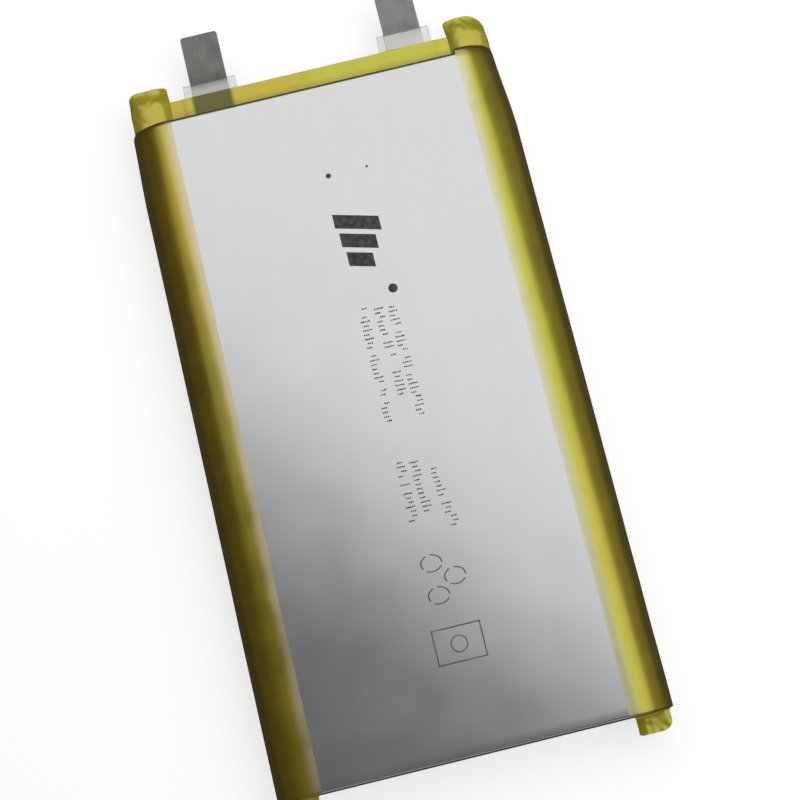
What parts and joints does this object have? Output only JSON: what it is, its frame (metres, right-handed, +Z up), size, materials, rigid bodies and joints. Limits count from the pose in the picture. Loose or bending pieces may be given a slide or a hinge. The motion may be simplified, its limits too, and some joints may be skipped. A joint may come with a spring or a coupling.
{
  "type": "lithium-ion pouch battery cell",
  "caption": "Flat wound pouch battery cell with half-round taped long sides, a sealed terrace and flat metal tabs at one end.",
  "frame": {"origin": "under the middle of the whole cell, on the surface that it lies on", "axes": "+Y along the length towards the tabs, +Z up out of the printed front face, +X across the width to the positive tab's side"},
  "size_m": [0.06, 0.1234, 0.012],
  "materials": {
    "pouch_film": "satin",
    "yellow_tape": "gloss",
    "aluminium_tab": "satin",
    "nickel_tab": "satin",
    "tab_sealant": "satin",
    "copper_foil": "satin",
    "anode_coating": "matte",
    "aluminium_foil": "satin",
    "cathode_coating": "matte",
    "separator_film": "matte",
    "insulating_tape": "gloss"
  },
  "bodies": {
    "root": {"pouch_front_half": "pouch_film", "pouch_back_half": "pouch_film", "side_tape_left": "yellow_tape", "side_tape_right": "yellow_tape", "terrace_tape_front": "yellow_tape", "terrace_tape_back": "yellow_tape", "positive_tab": "aluminium_tab", "negative_tab": "nickel_tab", "positive_tab_sealant_front": "tab_sealant", "positive_tab_sealant_back": "tab_sealant", "negative_tab_sealant_front": "tab_sealant", "negative_tab_sealant_back": "tab_sealant", "anode_foil": "copper_foil", "anode_coating_inner": "anode_coating", "anode_coating_outer": "anode_coating", "cathode_foil": "aluminium_foil", "cathode_coating_inner": "cathode_coating", "cathode_coating_outer": "cathode_coating", "separator_inner": "separator_film", "separator_outer": "separator_film", "positive_weld_tape_inner": "insulating_tape", "positive_weld_tape_outer": "insulating_tape", "negative_weld_tape_inner": "insulating_tape", "negative_weld_tape_outer": "insulating_tape", "winding_end_tape": "insulating_tape"}
  },
  "joints": []
}
